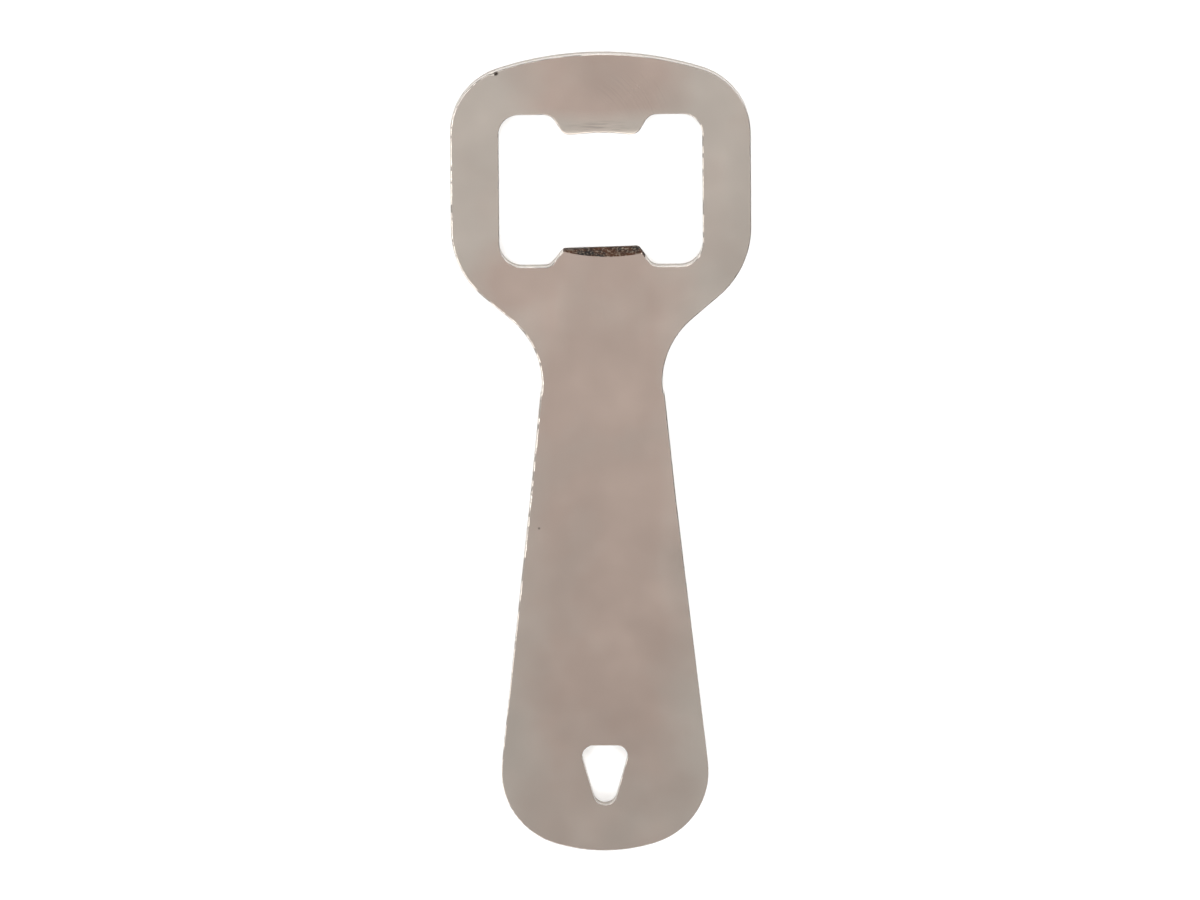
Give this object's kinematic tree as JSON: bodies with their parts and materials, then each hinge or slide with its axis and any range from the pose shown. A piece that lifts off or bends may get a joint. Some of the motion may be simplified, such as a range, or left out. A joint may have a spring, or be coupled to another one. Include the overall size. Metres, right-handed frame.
{
  "type": "bottle opener",
  "caption": "Flat plated-steel hand opener for crown caps, with a toothed cap mouth in the head and a hang hole in the handle.",
  "frame": {"origin": "centre of the plate's bounding box on the back face, z = 0", "axes": "+Y from the handle to the head, +X to the right, +Z out of the front face"},
  "size_m": [0.045, 0.122, 0.0025],
  "materials": {
    "nickel_plating": "bright nickel plating on blanked steel, faint polishing scratches on the faces, rougher sheared edges"
  },
  "bodies": {
    "root": {"opener_plate": "nickel_plating"}
  },
  "joints": []
}
